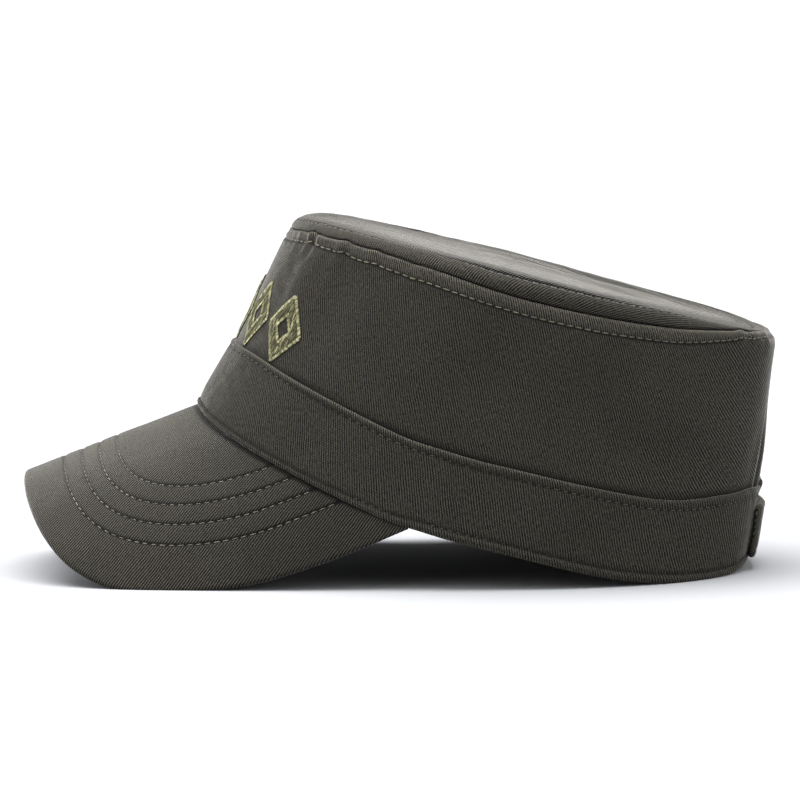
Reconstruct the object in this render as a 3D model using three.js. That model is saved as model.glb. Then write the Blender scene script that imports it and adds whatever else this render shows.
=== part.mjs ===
// Flat-top cloth cap with a curved peak, a turned-up band and a rear adjuster strap. Millimetres, +Z up.
// The peak points to -Y, the wearer's left is +X, and the cap rests on z = 0 by itself.
import * as THREE from 'three';

// Driving dimensions
const headWidth = 154.4; // outside of the crown cloth at the hem
const headLength = 201.8;
const headCentreY = 27.4;
const headSquareness = 2.12; // exponent of the oval, 2 is an ellipse
const topWidth = 145;
const topLength = 179.3; // seen from straight above
const topCentreY = 49;
const topSquareness = 2.1;
const topHeight = 130.7; // of the top panel's plane at its front corner
const topFrontY = -33;
const topFall = 0.258; // how much the top drops per millimetre towards the rear
const topHollow = 1.6; // sag of the cloth in the middle of the top
const shoulderRadius = 5.5;
const cloth = 1.4;
const bandCloth = 1.5;
const bandHeightFront = 27;
const bandHeightSide = 30.3;
const bandRise = 3; // how far the crown stops above the hem, inside the band
const gap = 0.3; // between pieces that are sewn together
const slit = 3; // half the opening of the band at the rear, in degrees
const peakThickness = 3.2;
const peakRadius = 78.6; // the flat peak is bent round a cylinder of this radius
const peakCrest = 1.4; // extra height of its middle
const peakCrestWidth = 26;
const peakTilt = THREE.MathUtils.degToRad(21); // of the cylinder's axis, nose down
const peakRootY = -75;
const peakRootZ = 58.5;
const peakEndAngle = 75; // where the wings of the peak end on the band, in degrees
const strapCloth = 2.3;
const strapBottom = 4.2;
const strapTop = 26;
const strapSewnX = -30;
const strapFreeX = 19;
const strapTipRadius = 4;
const hemBlendFrom = 64; // degrees: the hem leaves the peak's root here
const hemBlendTo = 80; // and follows the ring table from here on
const edgeRound = 0.3; // share of a cloth's thickness that its folded edges lose at each face
const edgeDepth = 0.56; // how far back from the edge they lose it

// How finely the pieces are faceted
const facets = {
  crownRound: 96,
  crownWall: 4,
  crownShoulder: 3,
  topRound: 84,
  topMargin: 3,
  bandRound: 92,
  bandRows: 3,
  peakAcross: 64,
  peakAhead: 5,
  strapLength: 14,
  strapRows: 3,
};
const topLevels = [3, 2.6, 2.25, 2.06]; // rings of the top, from its middle out
const wallTop = 0.9; // the wall's rows are wide below this level and close above it

// Round the head every 30 degrees from the front, over the wearer's left side and back again.
// hem is the height of the band's lower edge, rim how far the top's rim leaves its plane, and
// seam where the top seam lies, along the skin from the foot of the shoulder's curve.
const ringStep = 30;
const ring = [
  { at: 'front', hem: 58.8, rim: -1.7, seam: 1.6 },
  { at: 'left 30', hem: 50.5, rim: -0.4, seam: 2.7 },
  { at: 'left 60', hem: 32.6, rim: 0.2, seam: 1.8 },
  { at: 'left', hem: 15.3, rim: 0.3, seam: -1.7 },
  { at: 'left 120', hem: 2.0, rim: 0.1, seam: -0.2 },
  { at: 'left 150', hem: -0.3, rim: 0, seam: 5 },
  { at: 'rear', hem: 4.6, rim: -0.6, seam: 7.4 },
  { at: 'right 150', hem: -0.3, rim: 0, seam: 5 },
  { at: 'right 120', hem: 2.0, rim: 0.2, seam: -0.2 },
  { at: 'right', hem: 15.3, rim: 0.8, seam: -1.7 },
  { at: 'right 60', hem: 32.6, rim: 0.5, seam: 1.8 },
  { at: 'right 30', hem: 50.5, rim: 0.3, seam: 2.7 },
];

// Soft folds of the crown wall: where they run round the head, how wide, how high up and how deep.
// Heights are fractions of the wall, and a positive depth is a ridge.
const folds = [
  { name: 'front swell', angle: 0, width: 34, low: 0.38, high: 1.1, depth: 0.9 },
  { name: 'front left ridge', angle: 30, width: 7, low: 0.45, high: 1.05, depth: 1.1 },
  { name: 'front left hollow', angle: 44, width: 9, low: 0.5, high: 1.0, depth: -1.3 },
  { name: 'front right ridge', angle: 332, width: 7, low: 0.5, high: 1.05, depth: 1.0 },
  { name: 'front right hollow', angle: 314, width: 10, low: 0.4, high: 1.0, depth: -1.3 },
  { name: 'left side hollow', angle: 84, width: 15, low: 0.42, high: 0.95, depth: -1.2 },
  { name: 'left rear swell', angle: 122, width: 18, low: 0.5, high: 1.0, depth: 1.2 },
  { name: 'right side hollow', angle: 268, width: 14, low: 0.45, high: 0.95, depth: -1.4 },
  { name: 'right rear swell', angle: 236, width: 16, low: 0.5, high: 1.0, depth: 1.1 },
  { name: 'rear seam', angle: 180, width: 4, low: 0.2, high: 0.92, depth: -1.2 },
  { name: 'rear tuck', angle: 172, width: 4, low: 0.2, high: 0.75, depth: 1.0 },
];

// Half of the peak's flat outline: across from its centre line, ahead of the root.
const peakOutline = [
  { across: 0, ahead: 68.4 },
  { across: 33, ahead: 68.1 },
  { across: 57.6, ahead: 65 },
  { across: 74, ahead: 58.9 },
  { across: 87.5, ahead: 47.2 },
  { across: 98, ahead: 25 },
  { across: 104.8, ahead: 0 },
  { across: 107, ahead: -28 },
  { across: 106.5, ahead: -57.5 },
];

const turn = 360;
const halfTurn = 180;
const quarter = Math.PI / 2;
const up = new THREE.Vector3(0, 0, 1);

// A value of the ring table at any angle, on a smooth curve through its rows.
function ringValue(column, angle) {
  const place = THREE.MathUtils.euclideanModulo(angle, turn) / ringStep;
  const row = Math.floor(place);
  const t = place - row;
  const [a, b, c, d] = [-1, 0, 1, 2].map((k) => ring[(row + k + ring.length) % ring.length][column]);
  const cubic = (3 * (b - c) + d - a) * t ** 3;
  return b + 0.5 * ((c - a) * t + (2 * a - 5 * b + 4 * c - d) * t * t + cubic);
}

// A point of an oval seen from above: 0 degrees is its front, 90 the wearer's left.
function oval(width, length, centreY, squareness, angle) {
  const a = THREE.MathUtils.degToRad(angle);
  const part = (value) => Math.sign(value) * Math.abs(value) ** (2 / squareness);
  return new THREE.Vector2((width / 2) * part(Math.sin(a)), centreY - (length / 2) * part(Math.cos(a)));
}

const headOval = (angle, grow = 0) =>
  oval(headWidth + 2 * grow, headLength + 2 * grow, headCentreY, headSquareness, angle);

const peakCrown = (across) => peakCrest * Math.exp(-((across / peakCrestWidth) ** 2));

// A place on the bent peak: across and ahead in its flat outline, and lift off its upper face.
function peakPoint(across, ahead, lift = 0) {
  const bend = across / peakRadius;
  const radius = peakRadius + peakCrown(across) + lift;
  const drop = peakRadius - radius * Math.cos(bend);
  return new THREE.Vector3(
    radius * Math.sin(bend),
    peakRootY - ahead * Math.cos(peakTilt) + drop * Math.sin(peakTilt),
    peakRootZ - ahead * Math.sin(peakTilt) - drop * Math.cos(peakTilt),
  );
}

// Where a point seen from above lies in the peak's flat outline.
function peakPlace(x, y) {
  const bend = Math.asin(THREE.MathUtils.clamp(x / peakRadius, -1, 1));
  const drop = peakRadius - (peakRadius + peakCrown(peakRadius * bend)) * Math.cos(bend);
  const ahead = (peakRootY - y + drop * Math.sin(peakTilt)) / Math.cos(peakTilt);
  return new THREE.Vector2(peakRadius * bend, ahead);
}

const fromFront = (angle) => Math.abs(THREE.MathUtils.euclideanModulo(angle + halfTurn, turn) - halfTurn);

// The root of the peak right under the band's outer face.
function peakSeat(angle) {
  const edge = headOval(angle, gap + bandCloth);
  return peakPlace(edge.x, edge.y);
}

// The hem follows the peak's root in front and the ring table behind it.
function hemHeight(angle) {
  const seat = peakSeat(angle);
  const seated = peakPoint(seat.x, seat.y).z + gap;
  const behind = THREE.MathUtils.smoothstep(fromFront(angle), hemBlendFrom, hemBlendTo);
  return THREE.MathUtils.lerp(seated, ringValue('hem', angle), behind);
}

const topPlane = (y) => topHeight - topFall * (y - topFrontY);

function foldDepth(angle, height) {
  return folds.reduce((sum, fold) => {
    const away = fromFront(angle - fold.angle) / fold.width;
    const along = (height - fold.low) / (fold.high - fold.low);
    if (away > 1 || along < 0 || along > 1) return sum;
    return sum + fold.depth * Math.cos(away * quarter) ** 2 * Math.sin(along * Math.PI);
  }, 0);
}

// The crown's outer skin: level 0 to 1 up the wall, 1 to 2 over the shoulder, 2 to 3 in to the middle.
function bareSkin(angle, level) {
  const foot = headOval(angle);
  const rim = oval(topWidth, topLength, topCentreY, topSquareness, angle);
  const centre = new THREE.Vector3(0, topCentreY, topPlane(topCentreY) - topHollow);
  const inward = new THREE.Vector3(-rim.x, topCentreY - rim.y, 0).normalize();
  const rimHeight = topPlane(rim.y + inward.y * shoulderRadius) + ringValue('rim', angle);
  const low = new THREE.Vector3(foot.x, foot.y, hemHeight(angle));
  const high = new THREE.Vector3(rim.x, rim.y, rimHeight - shoulderRadius);
  if (level <= 1) return low.lerp(high, level);
  const curve = Math.min(level - 1, 1) * quarter;
  const point = high.clone();
  point.addScaledVector(inward, shoulderRadius * (1 - Math.cos(curve)));
  point.addScaledVector(up, shoulderRadius * Math.sin(curve));
  if (level <= 2) return point;
  const inside = level - 2;
  const flat = point.clone().lerp(centre, inside);
  const above = point.z - topPlane(point.y);
  flat.z = topPlane(flat.y) + THREE.MathUtils.lerp(above, -topHollow, 1 - (1 - inside) ** 2);
  return flat;
}

// The skin moved outwards along its own normal, with the folds of the wall.
function skin(angle, level, out = 0) {
  const aside = 0.5;
  const along = 0.01;
  if (level + along > 3) return bareSkin(angle, 3).addScaledVector(up, out);
  const round = bareSkin(angle + aside, level).sub(bareSkin(angle - aside, level));
  const rise = bareSkin(angle, level + along).sub(bareSkin(angle, Math.max(level - along, 0)));
  const normal = round.cross(rise).normalize();
  return bareSkin(angle, level).addScaledVector(normal, out + foldDepth(angle, level));
}

// The level on the wall that lies a number of millimetres above the hem.
const wallLevel = (angle, height) => height / bareSkin(angle, 0).distanceTo(bareSkin(angle, 1));
function seamLevel(angle, past = 0) {
  const along = ringValue('seam', angle) + past;
  return 1 + (along > 0 ? along / (shoulderRadius * quarter) : wallLevel(angle, along));
}

// Cloth pressed on the table: nothing goes below it.
const press = (point) => point.setZ(Math.max(point.z, 0));

// One closed body from loops of points. A ring joins its last loop to its first, and a strip is
// capped at both ends. Every loop runs the same way and has the same number of points.
function loftLoops(loops, isRing) {
  const size = loops[0].length;
  const points = loops.flat();
  const triangles = [];
  const spans = isRing ? loops.length : loops.length - 1;
  for (let i = 0; i < spans; i += 1) {
    const here = i * size;
    const next = ((i + 1) % loops.length) * size;
    for (let j = 0; j < size; j += 1) {
      const k = (j + 1) % size;
      triangles.push(here + j, next + j, next + k, here + j, next + k, here + k);
    }
  }
  if (!isRing) {
    for (const [first, reversed] of [[0, true], [(loops.length - 1) * size, false]]) {
      // The cap is a strip between the two faces of the cloth, so it never leaves the section.
      for (let j = 0; j < size / 2 - 1; j += 1) {
        const corners = [j, j + 1, size - 2 - j, size - 1 - j].map((k) => first + k);
        const [a, b, c, d] = reversed ? corners : [corners[1], corners[0], corners[3], corners[2]];
        triangles.push(a, b, c, a, c, d);
      }
    }
  }
  return closedGeometry(points, triangles);
}

// One closed body from loops that start and end in a point on an axis, as a cap of cloth does.
function loftDisc(profiles) {
  const size = profiles[0].length;
  const inner = size - 2;
  const points = profiles.flatMap((profile) => profile.slice(1, -1));
  const first = points.push(profiles[0][0]) - 1;
  const last = points.push(profiles[0][size - 1]) - 1;
  const triangles = [];
  for (let i = 0; i < profiles.length; i += 1) {
    const here = i * inner;
    const next = ((i + 1) % profiles.length) * inner;
    triangles.push(first, next, here);
    for (let j = 0; j < inner - 1; j += 1) {
      triangles.push(here + j, next + j, next + j + 1, here + j, next + j + 1, here + j + 1);
    }
    triangles.push(last, here + inner - 1, next + inner - 1);
  }
  return closedGeometry(points, triangles);
}

function closedGeometry(points, triangles) {
  const geometry = new THREE.BufferGeometry().setFromPoints(points);
  geometry.setIndex(triangles);
  geometry.computeVertexNormals();
  return geometry;
}

const steps = (from, to, count) =>
  Array.from({ length: count + 1 }, (_, i) => from + ((to - from) * i) / count);

// A strip of cloth on the crown: outer face up, folded edge, inner face down, folded edge.
function clothLoop(angle, levels, inside, outside) {
  const round = (outside - inside) * edgeRound;
  const lowest = levels[0];
  const highest = levels[levels.length - 1];
  const outer = levels.map((level) => skin(angle, level, outside));
  const inner = levels.map((level) => skin(angle, level, inside)).reverse();
  const fold = wallLevel(angle, edgeDepth);
  outer[0] = skin(angle, lowest, outside - round);
  outer[outer.length - 1] = skin(angle, highest, outside - round);
  inner[0] = skin(angle, highest, inside + round);
  inner[inner.length - 1] = skin(angle, lowest, inside + round);
  outer.splice(1, 0, skin(angle, lowest + fold, outside));
  outer.splice(outer.length - 1, 0, skin(angle, highest - fold, outside));
  inner.splice(1, 0, skin(angle, highest - fold, inside));
  inner.splice(inner.length - 1, 0, skin(angle, lowest + fold, inside));
  return [...outer, ...inner].map(press);
}

function crownSide() {
  const loops = steps(0, turn, facets.crownRound).slice(0, -1).map((angle) => {
    const foot = wallLevel(angle, bandRise);
    const top = seamLevel(angle, -gap / 2);
    const wall = steps(foot, wallTop, facets.crownWall);
    const levels = [...wall, ...steps(wallTop, top, facets.crownShoulder).slice(1)];
    return clothLoop(angle, levels, -cloth, 0);
  });
  return loftLoops(loops, true);
}

function crownTop() {
  const profiles = steps(0, turn, facets.topRound).slice(0, -1).map((angle) => {
    const start = seamLevel(angle, gap / 2);
    const levels = [...topLevels, ...steps(2, start, facets.topMargin)];
    const outer = levels.map((level) => skin(angle, level, 0));
    const inner = levels.map((level) => skin(angle, level, -cloth)).reverse();
    return [...outer, ...inner].reverse();
  });
  return loftDisc(profiles);
}

function bandHeight(angle) {
  const aside = THREE.MathUtils.smoothstep(fromFront(angle), 0, ringStep);
  return THREE.MathUtils.lerp(bandHeightFront, bandHeightSide, aside);
}

function band() {
  const loops = steps(slit - halfTurn, halfTurn - slit, facets.bandRound).map((angle) => {
    const levels = steps(0, wallLevel(angle, bandHeight(angle)), facets.bandRows);
    return clothLoop(angle, levels, gap, gap + bandCloth);
  });
  return loftLoops(loops, false);
}

function peak() {
  const half = peakOutline.map((row) => new THREE.Vector3(row.across, row.ahead, 0));
  const mirrored = half.slice(1).map((point) => point.clone().setX(-point.x)).reverse();
  const outline = new THREE.CatmullRomCurve3([...mirrored, ...half], false, 'centripetal');
  const loops = steps(-1, 1, facets.peakAcross).map((side) => {
    const root = peakSeat(side * peakEndAngle);
    const above = hemHeight(side * peakEndAngle) - gap - peakPoint(root.x, root.y).z;
    if (side !== 0) root.x -= above / Math.sin(root.x / peakRadius);
    const edge = outline.getPointAt((side + 1) / 2);
    const reach = Math.hypot(edge.x - root.x, edge.y - root.y);
    const rounding = Math.min(peakThickness / 2, reach / 4);
    const place = (inset, lift) => {
      const k = 1 - inset / reach;
      return peakPoint(root.x + (edge.x - root.x) * k, root.y + (edge.y - root.y) * k, lift);
    };
    const insets = steps(reach - Math.min(gap, reach / 8), rounding, facets.peakAhead);
    const upper = insets.map((inset) => place(inset, 0));
    const lower = insets.map((inset) => place(inset, -peakThickness)).reverse();
    const lip = [
      place(rounding * 0.3, -peakThickness * 0.15),
      place(0, -peakThickness * 0.4),
      place(0, -peakThickness * 0.6),
      place(rounding * 0.3, -peakThickness * 0.85),
    ];
    return [...upper, ...lip, ...lower].map(press);
  });
  return loftLoops(loops.reverse(), false);
}

// The rear angle at which the band's outside reaches a given x.
function rearAngle(x) {
  const width = headWidth / 2 + gap + bandCloth;
  const part = (Math.abs(x) / width) ** (headSquareness / 2);
  return halfTurn - Math.sign(x) * THREE.MathUtils.radToDeg(Math.asin(part));
}

function adjusterStrap() {
  const inside = 2 * gap + bandCloth;
  const loops = steps(strapSewnX, strapFreeX, facets.strapLength).map((x) => {
    const angle = rearAngle(x);
    const past = Math.max(x - (strapFreeX - strapTipRadius), 0);
    const corner = strapTipRadius - Math.sqrt(strapTipRadius ** 2 - past ** 2);
    const hem = hemHeight(angle);
    const low = wallLevel(angle, strapBottom - hem + corner);
    const high = wallLevel(angle, strapTop - hem - corner);
    return clothLoop(angle, steps(low, high, facets.strapRows), inside, inside + strapCloth);
  });
  return loftLoops(loops.reverse(), false);
}

const cloths = {
  side: { color: 0x45443c, roughness: 0.92 },
  top: { color: 0x4c4b42, roughness: 0.92 },
  band: { color: 0x43423a, roughness: 0.92 },
  peak: { color: 0x504e44, roughness: 0.9 },
  strap: { color: 0x413f38, roughness: 0.94 },
};

function piece(name, geometry, finish) {
  const material = new THREE.MeshStandardMaterial({ ...finish, metalness: 0 });
  const mesh = new THREE.Mesh(geometry, material);
  mesh.name = name;
  return mesh;
}

const cap = new THREE.Group();
cap.add(piece('crown_top', crownTop(), cloths.top));
cap.add(piece('crown_side', crownSide(), cloths.side));
cap.add(piece('band', band(), cloths.band));
cap.add(piece('peak', peak(), cloths.peak));
cap.add(piece('adjuster_strap', adjusterStrap(), cloths.strap));

export default cap;
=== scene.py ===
# Flat-top cloth cap with a curved stitched peak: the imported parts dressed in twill, seams and thread.
# Metres, +Z up. The peak points to -Y and the wearer's left is +X.
import math
import random
from functools import cache

import bmesh
import bpy
import numpy as np
from mathutils import Matrix, Vector, noise


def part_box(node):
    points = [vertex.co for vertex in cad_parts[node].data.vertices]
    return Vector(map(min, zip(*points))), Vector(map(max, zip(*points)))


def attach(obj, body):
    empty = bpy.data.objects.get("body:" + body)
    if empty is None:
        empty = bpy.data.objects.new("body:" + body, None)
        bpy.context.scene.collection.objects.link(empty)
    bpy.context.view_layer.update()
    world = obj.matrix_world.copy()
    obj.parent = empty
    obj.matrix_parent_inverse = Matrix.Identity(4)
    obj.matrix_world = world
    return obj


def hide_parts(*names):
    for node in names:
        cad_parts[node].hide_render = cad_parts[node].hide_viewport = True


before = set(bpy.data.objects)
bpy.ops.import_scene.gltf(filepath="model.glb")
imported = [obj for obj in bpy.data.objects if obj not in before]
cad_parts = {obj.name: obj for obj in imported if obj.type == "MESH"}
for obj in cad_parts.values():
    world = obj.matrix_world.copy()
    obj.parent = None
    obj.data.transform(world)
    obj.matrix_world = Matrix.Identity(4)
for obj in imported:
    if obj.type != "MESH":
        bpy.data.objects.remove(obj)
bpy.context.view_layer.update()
print("frame loaded:", ", ".join(sorted(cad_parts)))

mm = 0.001
up = Vector((0, 0, 1))


def smoothstep(value, low, high):
    t = min(max((value - low) / (high - low), 0), 1)
    return t * t * (3 - 2 * t)


def fade(value, low, high):
    return 1 - smoothstep(value, low, high)


def mix(a, b, share):
    return a + (b - a) * share


def bell(value, width):
    return math.exp(-((value / width) ** 2))


# A bell given by its amount, place and width
def streak(value, shape):
    amount, place, width = shape
    return amount * bell(value - place, width)


# A rise given by its amount, start and end
def ramp(value, shape):
    amount, low, high = shape
    return amount * smoothstep(value, low, high)


# Soft unevenness given by its height and scale
def ripple(shape, point, offset=(0, 0, 0)):
    height, scale = shape
    return height * noise.noise(point / scale + Vector(offset))


def between(value, places, values):
    return float(np.interp(value, places, values))


def newMesh(name, bm):
    mesh = bpy.data.meshes.new(name)
    bm.to_mesh(mesh)
    bm.free()
    return mesh


def addObject(name, data):
    obj = bpy.data.objects.new(name, data)
    bpy.context.scene.collection.objects.link(obj)
    return obj


# Camera

camera = {
    "elevation": 5.3,  # degrees above the floor
    "roll": -0.25,
    "distance": 2.0,
    "target": (0, 0, 0.0612),
    "pictureWidth": 0.296,  # what the picture spans at the target
    "sensorWidth": 36,
    "clip": (0.05, 100),
}


def makeCamera(c):
    data = bpy.data.cameras.new("camera")
    data.sensor_width = c["sensorWidth"]
    data.lens = c["sensorWidth"] * c["distance"] / c["pictureWidth"]
    data.clip_start, data.clip_end = c["clip"]
    raised = math.radians(c["elevation"])
    rolled = math.radians(c["roll"])
    back = Vector((math.cos(raised), 0, math.sin(raised)))
    right = Vector((0, 1, 0))
    above = back.cross(right)
    axes = (
        right * math.cos(rolled) + above * math.sin(rolled),
        above * math.cos(rolled) - right * math.sin(rolled),
        back,
    )
    obj = addObject("camera", data)
    place = Matrix.Translation(Vector(c["target"]) + back * c["distance"])
    obj.matrix_world = place @ Matrix(axes).transposed().to_4x4()
    bpy.context.scene.camera = obj


makeCamera(camera)
print("camera placed")


# The shape of the head: an oval hem, an oval sloping top and a wall between them

head = {
    "width": 0.1544,
    "length": 0.2018,
    "centreY": 0.0274,
    "squareness": 2.12,
}
top = {
    "width": 0.145,
    "length": 0.1793,
    "centreY": 0.049,
    "squareness": 2.1,
    "height": 0.1307,
    "frontY": -0.033,
    "fall": 0.258,
    "hollow": 0.0016,
    "shoulder": 0.0055,
    "cornerDip": 0.0009,  # the front corner is rounder than the rest
    "cornerWidth": 48,  # degrees
    "cornerPlace": 0.35,  # share of the shoulder's curve
    "cornerLength": 0.0055,
}
sewing = {
    "cloth": 0.0014,
    "bandCloth": 0.0015,
    "bandHeight": (0.027, 0.0303),  # at the front and at the side
    "bandHeightSpan": (0, 30),  # degrees from the front
    "dipAngle": 129,  # the band's top edge dips here and rises beside it
    "dipInside": (0.0007, 0, 16),
    "dipOutside": (16, 40),
    "bandEndFall": (0.0042, 156, 177),  # it comes down towards the opening
    "bandEndRise": (0.0018, 172.5, 175),  # and its corners stick up there
    "bandRise": 0.003,
    "gap": 0.0003,
    "slit": 3,  # degrees each side of the centre back
    "hemBlend": (64, 80),
    "puckerReach": (0.6, 2.2),  # shares of a row's distance from its seam
    "innerFade": 0.6,  # how much less the relief shows on the inner face
    "outerMarkShare": 0.4,  # a folded edge's marks, wear and painted light, show only this far out or further
}
bandOut = sewing["gap"] + sewing["bandCloth"]

# Millimetres, every 30 degrees from the front over the wearer's left
ringStep = 30
ringTable = {
    "hem": [58.8, 50.5, 32.6, 15.3, 2.0, -0.3, 4.6, -0.3, 2.0, 15.3, 32.6, 50.5],
    "rim": [-1.7, -0.4, 0.2, 0.3, 0.1, 0, -0.6, 0, 0.2, 0.8, 0.5, 0.3],
    "seam": [1.6, 2.7, 1.8, -1.7, -0.2, 5, 7.4, 5, -0.2, -1.7, 1.8, 2.7],
}

# Soft folds of the wall: angle, width in degrees, from and to as shares of the wall, depth in mm
folds = [
    (0, 34, 0.38, 1.1, 0.9),
    (0, 40, 0.1, 0.95, -1.4),
    (30, 7, 0.45, 1.05, 1.1),
    (44, 9, 0.5, 1.0, -1.3),
    (332, 7, 0.5, 1.05, 1.0),
    (314, 10, 0.4, 1.0, -1.3),
    (84, 15, 0.42, 0.95, -1.2),
    (122, 18, 0.5, 1.0, 1.2),
    (268, 14, 0.45, 0.95, -1.4),
    (236, 16, 0.5, 1.0, 1.1),
    (180, 26, -0.25, 0.34, -2.0),  # the strap pulls the rear in
]


def ringValue(column, angle):
    table = ringTable[column]
    place = (angle % 360) / ringStep
    row = int(place)
    t = place - row
    a, b, c, d = (table[(row + k) % len(table)] for k in (-1, 0, 1, 2))
    cubic = (3 * (b - c) + d - a) * t**3
    return mm * (b + 0.5 * ((c - a) * t + (2 * a - 5 * b + 4 * c - d) * t * t + cubic))


def oval(shape, angle, grow=0):
    a = math.radians(angle)
    power = 2 / shape["squareness"]
    across = math.copysign(abs(math.sin(a)) ** power, math.sin(a))
    ahead = math.copysign(abs(math.cos(a)) ** power, math.cos(a))
    return Vector((
        (shape["width"] / 2 + grow) * across,
        shape["centreY"] - (shape["length"] / 2 + grow) * ahead,
        0,
    ))


def fromFront(angle):
    return abs((angle + 180) % 360 - 180)


def topPlane(y):
    return top["height"] - top["fall"] * (y - top["frontY"])


# The peak's surface: a flat outline bent round a tilted cylinder

peak = {
    "thickness": 0.0032,
    "radius": 0.0786,
    "crest": 0.0014,
    "crestWidth": 0.026,
    "tilt": math.radians(21),
    "rootY": -0.075,
    "rootZ": 0.0585,
    "endAngle": 77,
    "tuck": 0.0008,  # how far the root runs in under the band
    "columns": 360,
    "upperRows": 122,
    "lowerRows": 16,
    "lipSteps": 6,
    "rowCount": 4,
    "rowAcross": 0.0882,  # half width and reach of the outermost stitch row
    "rowAhead": 0.0679,
    "rowStart": -0.06,
    "rowCentre": -0.0157,
    "rowPowerAcross": 4.86,
    "rowPowerAhead": 1.7,
    "rowStepAcross": 0.00805,
    "rowStepAhead": 0.00695,
    "valley": 0.0004,
    "valleyWidth": 0.00055,
    "quilt": 0.00005,
    "quiltReach": 0.0032,
    "swell": (0.00025, 0.02),
    "tipTaper": 0.07,  # share of the width over which the wings thin out
    "tipThickness": 0.15,
    # lighter edge: wear and a painted highlight
    "edgeWearAndHighlight": (0.25, 0, 0.0012),
    "rootShade": (-0.9, 0, 0.0012),
    "rowShade": 0.95,
    "rowShadeWidth": 0.0006,
    "underShade": (0.8, 0.15, 0.5),
    "wingShade": (0.3, 0.012, 0.055),
    "rearShade": (0.14, -0.02, 0.02),
}

# Half of the peak's flat outline in mm: across from its centre line, ahead of the root
peakOutline = [
    (0, 68.4),
    (33, 68.1),
    (57.6, 65),
    (74, 58.9),
    (87.5, 47.2),
    (98, 25),
    (104.8, 0),
    (107, -28),
    (106.6, -59.5),
]


tiltCos = math.cos(peak["tilt"])
tiltSin = math.sin(peak["tilt"])


def peakRadius(across):
    return peak["radius"] + peak["crest"] * bell(across, peak["crestWidth"])


def peakPoint(across, ahead, lift=0):
    bend = across / peak["radius"]
    radius = peakRadius(across) + lift
    drop = peak["radius"] - radius * math.cos(bend)
    return Vector((
        radius * math.sin(bend),
        peak["rootY"] - ahead * tiltCos + drop * tiltSin,
        peak["rootZ"] - ahead * tiltSin - drop * tiltCos,
    ))


def peakPlace(point):
    bend = math.asin(min(max(point.x / peak["radius"], -1), 1))
    across = peak["radius"] * bend
    drop = peak["radius"] - peakRadius(across) * math.cos(bend)
    ahead = (peak["rootY"] - point.y + drop * tiltSin) / tiltCos
    return across, ahead


def hemHeight(angle):
    seated = peakPoint(*peakPlace(oval(head, angle, bandOut))).z + sewing["gap"]
    return mix(seated, ringValue("hem", angle), smoothstep(fromFront(angle), *sewing["hemBlend"]))


def bandHeight(angle):
    s = sewing
    away = fromFront(angle)
    height = mix(*s["bandHeight"], smoothstep(away, *s["bandHeightSpan"]))
    beside = abs(away - s["dipAngle"])
    height += ramp(beside, s["dipInside"]) * fade(beside, *s["dipOutside"])
    return height + ramp(away, s["bandEndRise"]) - ramp(away, s["bandEndFall"])


@cache
def wallLine(angle):
    foot = oval(head, angle)
    rim = oval(top, angle)
    inward = Vector((-rim.x, top["centreY"] - rim.y, 0)).normalized()
    rimHeight = topPlane(rim.y + inward.y * top["shoulder"]) + ringValue("rim", angle)
    low = Vector((foot.x, foot.y, hemHeight(angle)))
    high = Vector((rim.x, rim.y, rimHeight - top["shoulder"]))
    return low, high, inward, (high - low).length


def wallLength(angle):
    return wallLine(angle)[3]


shoulderArc = top["shoulder"] * math.pi / 2

# Small scallops of the top seam: angle, width in degrees, height in mm
scallops = [
    (26, 1.5, 0.8),
    (33, 1.6, -0.3),
    (41, 1.8, 0.8),
    (51.5, 1.8, 0.5),
    (62, 2, -0.3),
    (-24, 1.6, 0.7),
    (-38, 1.8, 0.7),
    (147, 2, 0.5),
    (153, 2, -0.4),
]


@cache
def seamPlace(angle):
    place = ringValue("seam", angle)
    return place + sum(height * mm * bell(fromFront(angle - at), width) for at, width, height in scallops)


# A point of the crown's skin. along is measured up from the foot of the shoulder's curve.
def bareSkin(angle, along):
    low, high, inward, length = wallLine(angle)
    if along <= 0:
        return high.lerp(low, -along / length)
    curve = min(along / shoulderArc, 1) * math.pi / 2
    point = high + inward * top["shoulder"] * (1 - math.cos(curve)) + up * top["shoulder"] * math.sin(curve)
    if along <= shoulderArc:
        return point
    centre = Vector((0, top["centreY"], 0))
    inside = min((along - shoulderArc) / toCentre(angle), 1)
    flat = point.lerp(centre, inside)
    above = point.z - topPlane(point.y)
    flat.z = topPlane(flat.y) + mix(above, -top["hollow"], 1 - (1 - inside) ** 2)
    return flat


@cache
def toCentre(angle):
    low, high, inward, length = wallLine(angle)
    edge = high + inward * top["shoulder"]
    return math.hypot(edge.x, edge.y - top["centreY"])


def foldDepth(angle, share):
    depth = 0
    for place, width, low, high, height in folds:
        away = fromFront(angle - place) / width
        along = (share - low) / (high - low)
        if away < 1 and 0 < along < 1:
            depth += height * math.cos(away * math.pi / 2) ** 2 * math.sin(along * math.pi)
    return depth * mm


def cornerDepth(angle, along):
    place = along - shoulderArc * top["cornerPlace"]
    dip = bell(fromFront(angle), top["cornerWidth"]) * bell(place, top["cornerLength"])
    return -top["cornerDip"] * dip


def skinNormal(angle, along):
    if along > shoulderArc + toCentre(angle) * 0.97:  # all but at the middle of the top
        return up.copy()
    aside = 0.5
    further = 0.0004
    across = bareSkin(angle + aside, along) - bareSkin(angle - aside, along)
    rise = bareSkin(angle, along + further) - bareSkin(angle, along - further)
    return across.cross(rise).normalized()


# The skin moved outwards along its own normal, with the folds of the wall
def skin(angle, along, out=0):
    share = 1 + along / wallLength(angle)
    out += foldDepth(angle, share) + cornerDepth(angle, along)
    return bareSkin(angle, along) + skinNormal(angle, along) * out


def press(point):
    point.z = max(point.z, 0)
    return point


def centredSum(steps):
    sums = np.concatenate([[0], np.cumsum(steps)])
    return sums - sums[len(sums) // 2]


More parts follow.
